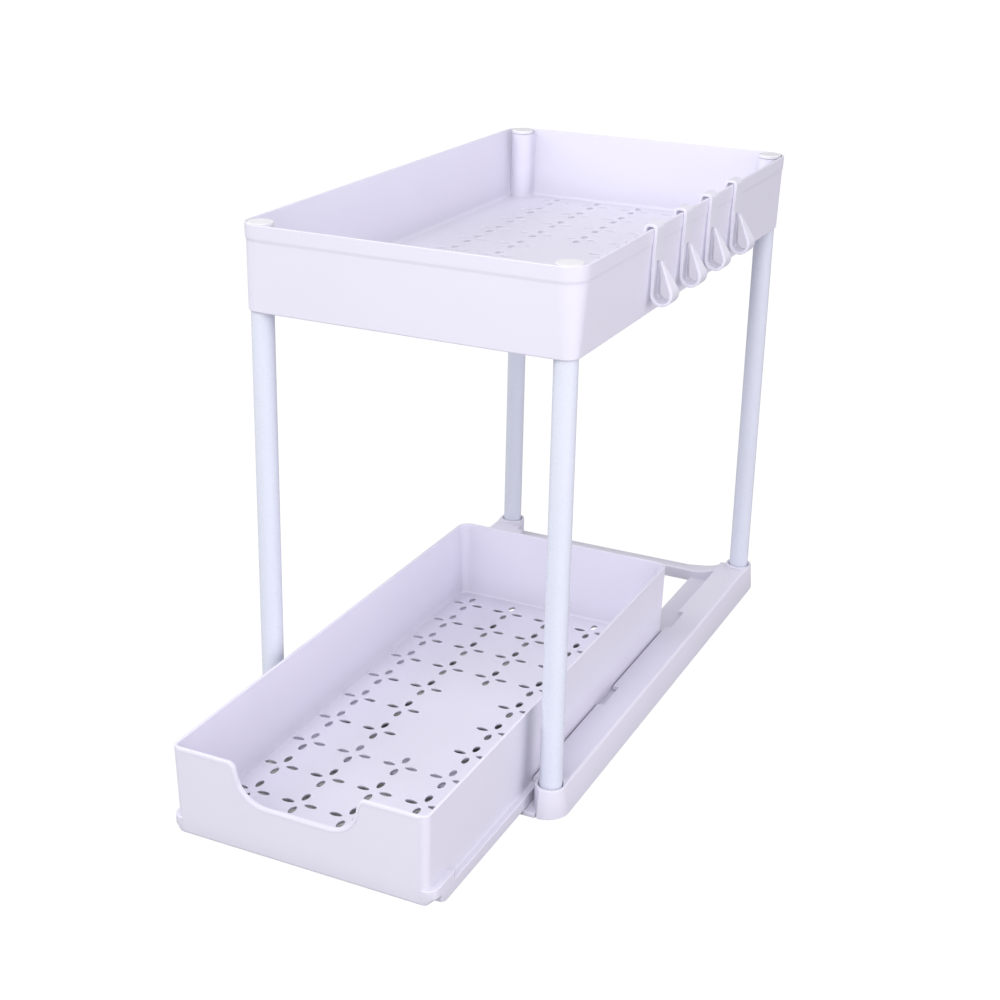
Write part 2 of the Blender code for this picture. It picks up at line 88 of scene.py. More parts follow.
HOOK_W, HOOK_T = 14.0, 2.0
HOOK_Y = (-91.0, -36.0, 15.0, 69.0)
HOOK_IN, HOOK_OUT, HOOK_TOP, HOOK_RI = 111.15, 118.4, 366.75, 1.65
LEG_X, LOOP_R, LOOP_Z, LEAN = 117.7, 6.41, 322.6, 27.6
TIP_X, TIP_Z, TIP_W = 120.6, 343.3, 2.4
WINDOW_Y, WINDOW_Z0, WINDOW_Z1 = 4.4, 318.9, 343.7

FINE = 72                # facets of sockets, columns and bores


# ------------------------------------------------------------------- helpers
def lerp(a, b, t):
    return a + (b - a) * t


def new_object(name, bm):
    mesh = bpy.data.meshes.new(name)
    bm.to_mesh(mesh)
    bm.free()
    ob = bpy.data.objects.new(name, mesh)
    bpy.context.scene.collection.objects.link(ob)
    return ob


def solid(name, verts, faces):
    mesh = bpy.data.meshes.new(name)
    mesh.from_pydata(verts, [], faces)
    bm = bmesh.new()
    bm.from_mesh(mesh)
    bpy.data.meshes.remove(mesh)
    bmesh.ops.recalc_face_normals(bm, faces=bm.faces)
    return new_object(name, bm)


def loft(name, rings):
    """Closed solid through rings of equal length, capped at both ends."""
    n = len(rings[0])
    verts = [p for ring in rings for p in ring]
    faces = [tuple(range(n))]
    for k in range(len(rings) - 1):
        a, b = k * n, (k + 1) * n
        faces += [(a + i, a + (i + 1) % n, b + (i + 1) % n, b + i) for i in range(n)]
    faces.append(tuple((len(rings) - 1) * n + i for i in range(n)))
    return solid(name, verts, faces)


def rounded(x0, x1, y0, y1, rf, rb, z, seg=12):
    """Rounded rectangle; rf is the radius of the two front corners, rb of the back."""
    out = []
    corners = (
        (x1 - rf, y0 + rf, rf, -90),
        (x1 - rb, y1 - rb, rb, 0),
        (x0 + rb, y1 - rb, rb, 90),
        (x0 + rf, y0 + rf, rf, 180),
    )
    for cx, cy, r, start in corners:
        for i in range(seg + 1):
            a = math.radians(start + 90.0 * i / seg)
            out.append((cx + r * math.cos(a), cy + r * math.sin(a), z))
    return out


def fillet(points, radii, seg=5):
    """Closed outline with its corners rounded; radii is one number or one for each corner."""
    n = len(points)
    if not isinstance(radii, (list, tuple)):
        radii = [radii] * n
    out = []
    for i, p in enumerate(points):
        p = Vector(p)
        a, b = Vector(points[i - 1]) - p, Vector(points[(i + 1) % n]) - p
        r = radii[i]
        angle = a.angle(b)
        if r <= 0.0 or angle > math.radians(177.0):
            out.append((p.x, p.y))
            continue
        reach = r / math.tan(angle / 2)
        limit = 0.49 * min(a.length, b.length)
        if reach > limit:
            reach = limit
            r = reach * math.tan(angle / 2)
        middle = (a.normalized() + b.normalized()).normalized()
        centre = p + middle * (r / math.sin(angle / 2))
        start = p + a.normalized() * reach - centre
        turn = math.pi - angle
        sign = 1.0 if (-a).cross(b) > 0 else -1.0
        for k in range(seg + 1):
            t = sign * turn * k / seg
            q = centre + Vector((start.x * math.cos(t) - start.y * math.sin(t), start.x * math.sin(t) + start.y * math.cos(t)))
            out.append((q.x, q.y))
    return out


def smooth_line(points, steps=5):
    """Open line with a smooth curve read between its points."""
    out = []
    n = len(points)
    for i in range(n - 1):
        p1, p2 = Vector(points[i]), Vector(points[i + 1])
        p0 = Vector(points[i - 1]) if i else p1 * 2 - p2
        p3 = Vector(points[i + 2]) if i + 2 < n else p2 * 2 - p1
        for k in range(steps):
            t = k / steps
            q = 0.5 * ((2 * p1) + (p2 - p0) * t + (2 * p0 - 5 * p1 + 4 * p2 - p3) * t * t + (3 * p1 - p0 - 3 * p2 + p3) * t ** 3)
            out.append(tuple(q))
    out.append(tuple(points[-1]))
    return out


def inset_outline(points, d):
    """Closed outline moved inwards by d."""
    n = len(points)
    area = sum(points[i - 1][0] * points[i][1] - points[i][0] * points[i - 1][1] for i in range(n))
    side = 1.0 if area > 0 else -1.0
    out = []
    for i in range(n):
        p = Vector(points[i])
        u = (p - Vector(points[i - 1])).normalized()
        v = (Vector(points[(i + 1) % n]) - p).normalized()
        nu, nv = Vector((-u.y, u.x)) * side, Vector((-v.y, v.x)) * side
        m = nu + nv
        m = m / max(0.35, m.length_squared / 2)
        out.append((p.x + m.x * d, p.y + m.y * d))
    return out


def prism(name, outline, axis, lo, hi, edge=0.0, seg=3):
    """Outline of pairs extruded along axis, its end edges rounded by edge.
    'x' takes (y, z), 'y' (x, z), 'z' (x, y)."""
    place = {
        "x": lambda u, v, t: (t, u, v),
        "y": lambda u, v, t: (u, t, v),
        "z": lambda u, v, t: (u, v, t),
    }[axis]
    lo, hi = min(lo, hi), max(lo, hi)
    stations = [(lo, 0.0), (hi, 0.0)]
    if edge > 0.0:
        arc = [(edge * (1 - math.sin(math.radians(90.0 * k / seg))), edge * (1 - math.cos(math.radians(90.0 * k / seg)))) for k in range(seg + 1)]
        stations = [(lo + a, b) for b, a in arc] + [(hi - a, b) for b, a in reversed(arc)]
    rings = []
    for t, d in stations:
        plan = inset_outline(outline, d) if d > 0.0 else outline
        rings.append([place(u, v, t) for u, v in plan])
    return loft(name, rings)


def box(name, x0, x1, y0, y1, z0, z1):
    return prism(name, [(x0, y0), (x1, y0), (x1, y1), (x0, y1)], "z", z0, z1)


def circle(cx, cy, r, z, n=FINE):
    return [(cx + r * math.cos(2 * math.pi * i / n), cy + r * math.sin(2 * math.pi * i / n), z) for i in range(n)]


def turned(name, cx, cy, profile, n=FINE):
    """Solid of revolution from (radius, z) pairs."""
    return loft(name, [circle(cx, cy, r, z, n) for r, z in profile])


def hull(name, points):
    bm = bmesh.new()
    for p in points:
        bm.verts.new(Vector(p))
    res = bmesh.ops.convex_hull(bm, input=bm.verts)
    inner = {g for g in res["geom_interior"] if isinstance(g, bmesh.types.BMVert)}
    bmesh.ops.delete(bm, geom=list(inner), context="VERTS")
    bmesh.ops.dissolve_limit(bm, angle_limit=math.radians(0.2), verts=bm.verts, edges=bm.edges)
    bmesh.ops.recalc_face_normals(bm, faces=bm.faces)
    return new_object(name, bm)


def combine(ob, others, operation):
    """Exact Boolean of ob with each of others, which are used up."""
    for other in others:
        mod = ob.modifiers.new("cut", "BOOLEAN")
        mod.operation = operation
        mod.solver = "EXACT"
        mod.object = other
        bpy.context.view_layer.update()
        graph = bpy.context.evaluated_depsgraph_get()
        mesh = bpy.data.meshes.new_from_object(ob.evaluated_get(graph))
        ob.modifiers.remove(mod)
        old = ob.data
        ob.data = mesh
        bpy.data.meshes.remove(old)
        bpy.data.objects.remove(other, do_unlink=True)
    return ob


def together(name, pieces):
    """Several separate solids as one mesh, used as one cutter."""
    bm = bmesh.new()
    for piece in pieces:
        bm.from_mesh(piece.data)
        bpy.data.objects.remove(piece, do_unlink=True)
    return new_object(name, bm)


def soften(ob, pick, width, segments=3):
    """Rounds the edges for which pick(edge) is true."""
    bm = bmesh.new()
    bm.from_mesh(ob.data)
    bm.normal_update()
    edges = [e for e in bm.edges if len(e.link_faces) == 2 and pick(e)]
    if edges:
        bmesh.ops.bevel(bm, geom=edges, offset=width, offset_type="OFFSET", segments=segments, profile=0.5,
                        affect="EDGES", clamp_overlap=True, loop_slide=True)
    bm.to_mesh(ob.data)
    bm.free()
    return ob


# --------------------------------------------------------------- perforation
def petal_shape(grow, count=26):
    """Outline of a petal pointing along +u: a long drop, blunter at its outer end."""
    h, w = PETAL_L / 2 + grow, PETAL_W / 2 * 0.97 + grow
    out = []
    for k in range(count):
        t = 2 * math.pi * k / count
        s, c = math.sin(t), math.cos(t)
        out.append((h * c, w * s * abs(s) ** 0.05 * (1.0 + 0.10 * c)))
    return out


def perforate(ob, centres, z_top, z_bottom, lip, trim, flare):
    """Opens every petal between the two flat floor faces, with rounded upper lips
    and walls that open out by flare towards the underside."""
    steps = 4
    places = []
    for cx, cy in centres:
        for dx, dy in ((1, 0), (0, 1), (-1, 0), (0, -1)):
            places.append((cx + PETAL_OFF * dx, cy + PETAL_OFF * dy, dx, dy))
    levels = []
    for k in range(steps + 1):
        a = math.radians(90.0 * k / steps)
        levels.append((lip * (1 - math.sin(a)) - trim, z_top - lip * (1 - math.cos(a))))
    for k, part in enumerate((0.0, 0.09, 0.33, 0.66, 1.0)):
        levels.append((flare * part - trim, lerp(z_top - lip - 0.4, z_bottom, k / 4)))

    bm = bmesh.new()
    bm.from_mesh(ob.data)
    bmesh.ops.remove_doubles(bm, verts=bm.verts, dist=0.0002)
    bm.normal_update()
    rings = []               # rings[level][petal] -> list of BMVert
    for grow, z in levels:
        shape = petal_shape(grow)
        rings.append([[bm.verts.new((px + u * dx - v * dy, py + u * dy + v * dx, z)) for u, v in shape] for px, py, dx, dy in places])
    for k in range(len(levels) - 1):
        for upper, lower in zip(rings[k], rings[k + 1]):
            n = len(upper)
            for i in range(n):
                bm.faces.new((upper[(i + 1) % n], upper[i], lower[i], lower[(i + 1) % n]))
    for z, loops, up, grow in ((z_top, rings[0], 1.0, lip - trim), (z_bottom, rings[-1], -1.0, flare - trim)):
        flat = {f for f in bm.faces if f.normal.z * up > 0.9999 and all(abs(v.co.z - z) < 0.002 for v in f.verts)}
        edge = [e for e in bm.edges if sum(1 for f in e.link_faces if f in flat) == 1]
        bmesh.ops.delete(bm, geom=list(flat), context="FACES_ONLY")
        index, verts, lines = {}, [], []
        for e in edge:
            for v in e.verts:
                if v not in index:
                    index[v] = len(verts)
                    verts.append(v)
            lines.append((index[e.verts[0]], index[e.verts[1]]))
        for loop in loops:
            k = len(verts)
            verts += loop
            lines += [(k + i, k + (i + 1) % len(loop)) for i in range(len(loop))]
        plan = [Vector((v.co.x, v.co.y)) for v in verts]
        out_verts, _, out_faces, origin, _, _ = geometry.delaunay_2d_cdt(plan, lines, [], 1, 1e-7)
        back = [verts[o[0]] if o else bm.verts.new((p.x, p.y, z)) for o, p in zip(origin, out_verts)]
        reach, side = PETAL_L / 2 + grow, PETAL_W / 2 + grow
        for tri in out_faces:
            corner = [back[i] for i in tri]
            mx, my = sum(v.co.x for v in corner) / 3, sum(v.co.y for v in corner) / 3
            inside = False
            for px, py, dx, dy in places:
                if abs(mx - px) < reach and abs(my - py) < reach:
                    u, v = (mx - px) * dx + (my - py) * dy, -(mx - px) * dy + (my - py) * dx
                    if all(min(abs(c.co.x - px), abs(c.co.y - py)) < reach and max(abs(c.co.x - px), abs(c.co.y - py)) < reach + 0.01 for c in corner):
                        if (u / reach) ** 2 + (v / side) ** 2 < 0.995:
                            inside = True
                            break
            if inside or len(set(corner)) < 3:
                continue
            normal = (corner[1].co - corner[0].co).cross(corner[2].co - corner[0].co)
            if abs(normal.z) < 1e-9:
                continue
            if normal.z * up < 0:
                corner.reverse()
            try:
                bm.faces.new(corner)
            except ValueError:
                pass
    loose = [e for e in bm.edges if not e.link_faces]
    bmesh.ops.delete(bm, geom=loose, context="EDGES")
    bm.normal_update()
    bm.to_mesh(ob.data)
    bm.free()
    return ob


# ---------------------------------------------------------------- base frame
RAIL_R = 2.0
RAIL_C = (112.74, 17.99)      # centre of the round outer top edge of the rails


def outer_edge_insets():
    """(inset from the floor outline, z) up the drafted outer face and round its top edge."""
    out = [(0.35, 0.0), (0.1, 0.12), (0.05, 0.4)]
    for z in (4.0, 8.0, 12.0, 16.0):
        out.append((0.15217 * z, z))
    for k in range(7):
        a = math.radians(lerp(8.65, 90.0, k / 6))
        out.append((BASE_HX - RAIL_C[0] - RAIL_R * math.cos(a), RAIL_C[1] + RAIL_R * math.sin(a)))
    return out


def base_frame():
    parts = []
    top = smooth_line([(112.3, 19.93), (104.0, 18.1), (96.0, 16.5), (LIP_X + 0.5, LIP_Z1 + 0.04)], 6)
    rail = [(PLATE_IN, 0.0), (BASE_HX - 0.35, 0.0), (BASE_HX - 0.1, 0.12), (BASE_HX - 0.05, 0.4)]
    for k in range(7):
        a = math.radians(lerp(8.65, 96.0, k / 6))
        rail.append((RAIL_C[0] + RAIL_R * math.cos(a), RAIL_C[1] + RAIL_R * math.sin(a)))
    rail += top
    rail += fillet([(90.0, 14.0), (LIP_X, LIP_Z1), (LIP_X, LIP_Z0), (90.0, LIP_Z0)], [0.0, 0.7, 0.5, 0.0])[1:-1]
    rail += fillet([(90.0, LIP_Z0), (CHANNEL_X, LIP_Z0), (CHANNEL_X, PLATE_T), (90.0, PLATE_T)], [0.0, 0.3, 0.3, 0.0])[1:-1]
    rail += fillet([(80.0, PLATE_T), (PLATE_IN, PLATE_T), (PLATE_IN, 1.0)], [0.0, 0.8, 0.0])[1:-1]
    for s in (1, -1):
        parts.append(prism("rail", [(s * x, z) for x, z in rail], "y", -192.0, 192.0))
    for s in (1, -1):
        for t in (1, -1):
            # outer corner arc and side, blended into a round boss for the tube
            cx, cy, r = s * TUBE_X, t * TUBE_Y, BASE_R
            ax, ay = BASE_HX - r, BASE_HY - r
            pts = []
            for inset, z in outer_edge_insets():
                pts.append((s * (BASE_HX - inset), t * (BASE_HY - 26.0), z))
                for k in range(25):
                    a = math.radians(90.0 * k / 24)
                    pts.append((s * (ax + (r - inset) * math.sin(a)), t * (ay + (r - inset) * math.cos(a)), z))
            for d, z in ((0.3, 0.0), (0.0, 0.3), (0.0, SOCKET_TOP - 0.5), (0.07, SOCKET_TOP - 0.25), (0.25, SOCKET_TOP - 0.07), (0.5, SOCKET_TOP)):
                pts += circle(cx, cy, SOCKET_R - d, z)
            parts.append(hull("corner", pts))
    front = fillet([(-BASE_HY, 0.0), (-BAR_IN, 0.0), (-BAR_IN, PLATE_T), (-BASE_HY + 0.3, PLATE_T)], [0.3, 0.3, 0.9, 0.7])
    parts.append(prism("front_bar", front, "x", -100.0, 100.0))
    back = [(BAR_IN, 0.3), (BAR_IN + 0.3, 0.0), (BASE_HY - 0.3, 0.0), (BASE_HY - 0.05, 0.3)]
    back += smooth_line([(208.0, 4.2), (204.0, 6.2), (199.0, 7.9), (192.0, 9.2), (187.2, 9.6)], 4)
    back += [(186.6, 9.5), (186.2, 9.15), (BAR_IN, 8.6)]
    parts.append(prism("back_bar", back, "x", -100.0, 100.0))
    # at the right-hand rear socket the rail's top runs on into the back bar,
    # which rises to it in a concave sweep
    end = [(LIP_X, 2.0), (104.0, 2.0)] + smooth_line([(104.0, 18.1), (96.0, 16.5), (LIP_X, LIP_Z1)], 5)
    parts.append(prism("rail_end", end, "y", 186.4, 201.5, 0.4))
    sweep = []
    for x, z in smooth_line([(56.0, 7.6), (66.0, 8.9), (74.0, 9.9), (80.0, 11.1), (84.6, 12.6), (88.0, 14.2), (91.5, 15.7)], 5):
        sweep.append([(x, y, h) for y, h in ((BAR_IN, 2.0), (205.0, 2.0), (204.6, 4.4), (203.6, z - 2.6), (202.4, z - 1.4), (201.3, z - 0.6), (200.0, z - 0.1),
                                             (198.0, z + 0.05), (187.2, z + 0.3), (186.6, z + 0.2), (186.2, z - 0.1), (BAR_IN, z - 0.5))])
    parts.append(loft("sweep", sweep))
    base = parts[0]
    combine(base, parts[1:], "UNION")

    cuts = [
        box("way_in", -94.3, 94.3, -220.0, LIP_FRONT, 8.0, 30.0),
        box("way_in_low", -CHANNEL_X, CHANNEL_X, -220.0, LIP_FRONT, PLATE_T, 9.0),
    ]
    for s in (1, -1):
        for a, b in NOTCHES:
            plan = fillet([(86.0, a), (93.8, a), (93.8, b), (86.0, b)], [0.0, 0.3, 2.3, 0.0])
            cuts.append(prism("notch", [(s * x, y) for x, y in plan], "z", 12.2, 24.0))
    # end of the left-hand lip in front of its rear socket
    cuts.append(box("lip_end", -94.4, -80.0, LIP_REAR, 215.0, 9.9, 30.0))
    bar = fillet([(189.0, -2.0), (206.0, -2.0), (205.4, 3.0), (198.0, 5.2), (189.0, 6.2)], [0.0, 0.0, 0.8, 0.0, 0.8])
    cuts.append(prism("bar_pocket", bar, "x", -88.0, 88.0))
    combine(base, cuts, "DIFFERENCE")
    bores = [
        turned("bore", s * TUBE_X, t * TUBE_Y, [(BORE_R, PLATE_T), (BORE_R, 18.5), (BORE_R + 0.05, 18.8), (8.5, SOCKET_TOP - 0.1), (8.65, SOCKET_TOP + 0.1), (8.65, 25.0)])
        for s in (1, -1) for t in (1, -1)
    ]
    return combine(base, [together("bores", bores)], "DIFFERENCE")


# --------------------------------------------------------------------- tubes
def tube(x, y):
    e = 0.25
    rings = [(TUBE_R - e, TUBE_Z0), (TUBE_R, TUBE_Z0 + e), (TUBE_R, TUBE_Z1 - e), (TUBE_R - e, TUBE_Z1), (TUBE_RI, TUBE_Z1), (TUBE_RI, TUBE_Z0)]
    n = 96
    verts = [p for r, z in rings for p in circle(x, y, r, z, n)]
    faces = []
    for k in range(len(rings)):
        a, b = k * n, ((k + 1) % len(rings)) * n
        faces += [(a + i, a + (i + 1) % n, b + (i + 1) % n, b + i) for i in range(n)]
    return solid("tube", verts, faces)


def cap(x, y):
    e = 0.6
    profile = [(STEM_R - 0.8, STEM_Z), (STEM_R - 0.2, STEM_Z + 0.3), (STEM_R, STEM_Z + 0.9), (STEM_R, CAP_Z0), (CAP_R - 0.15, CAP_Z0), (CAP_R, CAP_Z0 + 0.15)]
    profile += [(CAP_R - e * (1 - math.cos(math.radians(a))), CAP_Z1 - e + e * math.sin(math.radians(a))) for a in range(0, 91, 15)]
    profile += [(6.0, CAP_Z1), (3.0, CAP_Z1)]
    return turned("cap", x, y, profile, 96)


# ---------------------------------------------------------------- upper tray
def flowers(x_step, y_mid, y_step):
    return [(i * x_step, y_mid + j * y_step) for i in range(-2, 3) for j in range(-5, 6) if not (i == 0 and abs(j) <= 1)]


def upper_tray():
    def ring(ix, iy, z, r):
        hx, hy = TRAY_HX - ix, TRAY_HY - iy
        return rounded(-hx, hx, -hy, hy, r, r, z, 14)

    w = TRAY_WALL
    rings = []
    for k in range(6):                       # round lower outer edge
        a = math.radians(18.0 * k)
        rings.append(ring(4.1 - math.sin(a), 3.1 - math.sin(a), TRAY_Z0 + 1.1 * (1 - math.cos(a)), 8.4 + 0.6 * math.sin(a)))
    for k in range(9):                       # soft step out to the rim band
        t = k / 8
        d = 0.87 - 0.57 * (3 * t * t - 2 * t ** 3)
        rings.append(ring(d, d, RIM_BAND - 1.9 + 3.2 * t, 14.8 + 0.4 * t))
    e = 0.5
    for k in range(5):                       # rim, outside
        a = math.radians(22.5 * k)
        rings.append(ring(e * (1 - math.cos(a)), e * (1 - math.cos(a)), TRAY_Z1 - e + e * math.sin(a), TRAY_R - e * (1 - math.cos(a))))
    for k in range(5):                       # rim, inside
        a = math.radians(22.5 * k)
        rings.append(ring(w - e + e * math.sin(a), w - e + e * math.sin(a), TRAY_Z1 - e + e * math.cos(a), TRAY_R - w + e - e * math.sin(a)))
    for k in range(8):                       # down into the floor
        a = math.radians(90.0 * k / 7)
        rings.append(ring(w + 2.9 + 2.4 * (1 - math.cos(a)), w + 2.0 + 2.3 * (1 - math.cos(a)), TRAY_FLOOR + 2.4 * (1 - math.sin(a)), 8.3 - 1.5 * (1 - math.cos(a))))
    tray = loft("upper_tray", rings)
    adds = []
    for s in (1, -1):
        for t in (1, -1):
            adds.append(turned("column", s * TUBE_X, t * TUBE_Y, [
                (COLUMN_R - 0.3, TRAY_Z0 + 1.1), (COLUMN_R, TRAY_Z0 + 1.4), (COLUMN_R, COLUMN_TOP - 0.4), (COLUMN_R - 0.12, COLUMN_TOP - 0.12), (COLUMN_R - 0.4, COLUMN_TOP)]))
            # flat-sided web from the column to the end wall, flush with its face
            side = [(TUBE_Y, TRAY_Z0 + 1.1), (204.3, TRAY_Z0 + 1.1), (206.2, COLUMN_TOP - 0.4), (TUBE_Y, COLUMN_TOP - 0.4)]
            adds.append(prism("web", [(t * y, z) for y, z in side], "x", s * (TUBE_X - COLUMN_R), s * TUBE_X))
    combine(tray, adds, "UNION")
    corners = [(s * TUBE_X, t * TUBE_Y) for s in (1, -1) for t in (1, -1)]
    combine(tray, [together("bores", [turned("bore", x, y, [(BORE_R + 0.3, TRAY_Z0 - 3.0), (BORE_R + 0.3, TRAY_Z0 + 0.35), (BORE_R, TRAY_Z0 + 0.7), (BORE_R, LEDGE_Z)]) for x, y in corners])], "DIFFERENCE")
    combine(tray, [together("holes", [turned("hole", x, y, [(STEM_HOLE_R, LEDGE_Z - 2.0), (STEM_HOLE_R, COLUMN_TOP + 3.0)]) for x, y in corners])], "DIFFERENCE")
    combine(tray, [together("recesses", [turned("recess", x, y, [(CAP_R + CAP_CLEAR, COLUMN_TOP), (CAP_R + CAP_CLEAR, TRAY_Z1 + 3.0)]) for x, y in corners])], "DIFFERENCE")
    return perforate(tray, flowers(FLOWER_X, 0.0, TRAY_ROW), TRAY_FLOOR, TRAY_Z0, 0.5, 0.0, 0.25)


# -------------------------------------------------------------------- drawer
def scoop_half(grow=0.0):
    """Right half of the finger cut-out's contour from its bottom lip to the rim, moved outwards by grow."""
    r, zc, xc, rt = 20.0, 62.5, 21.5, 6.0
    slope = math.radians(12.0)
    last = math.radians(78.0)
    zs = DR_Z1 - rt + rt * math.sin(slope)
    xs = xc + r * math.sin(last) + math.tan(slope) * (zs - (zc - r * math.cos(last)))
    cxx = xs + rt * math.cos(slope)
    half = [(xc + (r + grow) * math.sin(math.radians(a)), zc - (r + grow) * math.cos(math.radians(a))) for a in range(0, 79, 6)]
    for k in range(13):
        a = math.radians(168.0 - 78.0 * k / 12)
        half.append((cxx + (rt - grow) * math.cos(a), DR_Z1 - rt + (rt - grow) * math.sin(a)))
    return half


def scoop_outline():
    """Finger cut-out in the drawer front, from its bottom lip to above the rim."""
    half = scoop_half()
    half[-1] = (half[-1][0], DR_Z1 + 0.001)
    half.append((half[-1][0], DR_Z1 + 8.0))
    return half + [(-x, z) for x, z in reversed(half)]


def drawer():
    def ring(ix, iy, z, rf, rb):
        return rounded(-DR_HX + ix, DR_HX - ix, DR_Y0 + iy, DR_Y1 - iy, rf, rb, z, 12)

    w = DR_WALL
    rings = []
    for k in range(6):                       # round lower outer edge
        a = math.radians(18.0 * k)
        q = math.sin(a)
        rings.append(ring(2.0 - q, 3.3 - 0.9 * q, DR_Z0 + 1.1 * (1 - math.cos(a)), 3.8 + 0.8 * q, 8.0 + 0.6 * q))
    e = 0.55
    for k in range(5):                       # rim, outside
        a = math.radians(22.5 * k)
        q = e * (1 - math.cos(a))
        rings.append(ring(q, q, DR_Z1 - e + e * math.sin(a), 5.0 - q, 9.4 - q))
    for k in range(5):                       # rim, inside
        a = math.radians(22.5 * k)
        q = e * (1 - math.sin(a))
        rings.append(ring(w - q, w - q, DR_Z1 - e + e * math.cos(a), 3.0 + q, 7.4 + q))
    for k in range(8):                       # down into the floor
        a = math.radians(90.0 * k / 7)
        q = 1 - math.cos(a)
        rings.append(ring(w + 0.85 + 1.2 * q, w + 2.2 + 1.4 * q, DR_FLOOR + 1.7 * (1 - math.sin(a)), 2.8 - 0.6 * q, 7.0 - 1.0 * q))
    tray = loft("drawer", rings)

    # the proud front panel follows the drafted front wall
    def wall_y(z):
        return DR_Y0 + 2.4 * (DR_Z1 - z) / 60.9

    # and leaves a plain border along the rim and round the finger cut-out
    head = DR_Z1 - PANEL_EDGE
    corners = fillet([(-PANEL_X, 8.4), (PANEL_X, 8.4), (PANEL_X, head), (-PANEL_X, head)], [0.5, 0.5, 1.2, 1.2])
    dip = scoop_half(PANEL_EDGE)
    dip[-1] = (dip[-1][0], head)
    outline = corners[:18] + list(reversed(dip)) + [(-x, z) for x, z in dip] + corners[18:]
    e = 0.35
    stations = [(-1.2, 0.0), (PANEL_T - e, 0.0)]
    stations += [(PANEL_T - e + e * math.sin(math.radians(a)), e * (1 - math.cos(math.radians(a)))) for a in (22.5, 45.0, 67.5, 90.0)]
    panel = loft("panel", [
        [(x, wall_y(z) - t, z) for x, z in (inset_outline(outline, d) if d > 0 else outline)] for t, d in stations
    ])
    adds = [panel]
    for s in (1, -1):
        runner = fillet([(84.2, RUN_Z0 + 4.2), (86.0, RUN_Z0), (RUN_X, RUN_Z0), (RUN_X, RUN_Z1), (88.05, RUN_Z1), (87.5, RUN_Z1 + 3.4), (86.0, RUN_Z1 + 3.4)],
                        [0.0, 0.3, 0.6, 0.6, 0.6, 0.4, 0.0])
        rail = prism("runner", [(s * x, z) for x, z in runner], "y", RUN_Y0, RUN_Y1)
        lead = prism("lead_in", [(RUN_Y0 - 1.0, 2.0), (RUN_Y0 + 8.6, 2.0), (RUN_Y0 + 7.0, RUN_Z0), (RUN_Y0, RUN_Z0 + 2.9), (RUN_Y0 - 1.0, RUN_Z0 + 3.3)],
                     "x", s * 80.0, s * 95.0)
        adds.append(combine(rail, [lead], "DIFFERENCE"))
        low = smooth_line([(83.6, -335.1), (86.2, -334.6), (87.2, -332.8), (87.5, -330.4), (87.6, -328.0)], 4)
        mid = smooth_line([(83.6, -335.9), (87.6, -335.3), (90.4, -333.3), (91.9, -330.6), (RUN_X, -327.6)], 4)
        top = smooth_line([(83.6, -336.2), (87.6, -335.6), (90.4, -333.5), (91.9, -330.7), (RUN_X, -327.6)], 4)
        low += [(87.6, EAR_BACK), (85.4, EAR_BACK), (85.4, -325.0), (82.6, -330.0)]
        mid += [(RUN_X, EAR_BACK), (86.2, EAR_BACK), (86.2, -325.0), (82.6, -331.0)]
        top += [(RUN_X, EAR_BACK), (86.2, EAR_BACK), (86.2, -325.0), (82.6, -331.0)]
        levels = [(low, EAR_Z0), (mid, 11.8)]
        e = 0.5
        for a in (0, 30, 60, 90):
            d = e * (1 - math.cos(math.radians(a)))
            levels.append((inset_outline(top, d) if d > 0 else top, EAR_Z1 - e + e * math.sin(math.radians(a))))
        adds.append(loft("ear", [[(s * x, y, z) for x, y in plan] for plan, z in levels]))
    combine(tray, adds, "UNION")
    combine(tray, [prism("scoop", scoop_outline(), "y", -346.0, -329.0)], "DIFFERENCE")

    def scoop_edge(e):
        a, b = e.verts[0].co, e.verts[1].co
        if min(a.z, b.z) < 40.0 or max(a.y, b.y) > -330.0 or max(abs(a.x), abs(b.x)) > 52.0:
            return False
        if e.calc_face_angle(0.0) < math.radians(40.0) or not e.is_convex:
            return False
        f, g = e.link_faces
        return min(abs(f.normal.y), abs(g.normal.y)) < 0.05 and max(abs(f.normal.y), abs(g.normal.y)) > 0.3

    soften(tray, scoop_edge, 0.5, 3)

    # a low bead runs along the rim and round the cut-out
    half = scoop_half()
    path = [(-x, z) for x, z in reversed(half)] + half
    path = [(-PANEL_X, DR_Z1), (-70.0, DR_Z1)] + path + [(70.0, DR_Z1), (PANEL_X, DR_Z1)]
    section = [(0.12, -0.8), (0.12, 0.22), (0.24, 0.42), (0.6, 0.52), (1.2, 0.66), (1.7, BEAD_T - 0.01), (1.88, BEAD_T), (2.03, 0.62), (BEAD_W, 0.25), (BEAD_W, -0.8)]
    bead = []
    for i, (x, z) in enumerate(path):
        before, after = Vector(path[max(0, i - 1)]), Vector(path[min(len(path) - 1, i + 1)])
        along = (after - before).normalized()
        bead.append([(x + along.y * o, wall_y(z - along.x * o) - t, z - along.x * o) for o, t in section])
    combine(tray, [loft("bead", bead)], "UNION")
    return perforate(tray, flowers(FLOWER_X, DR_MID, DR_ROW), DR_FLOOR, DR_Z0, 0.3, 0.2, 0.9)


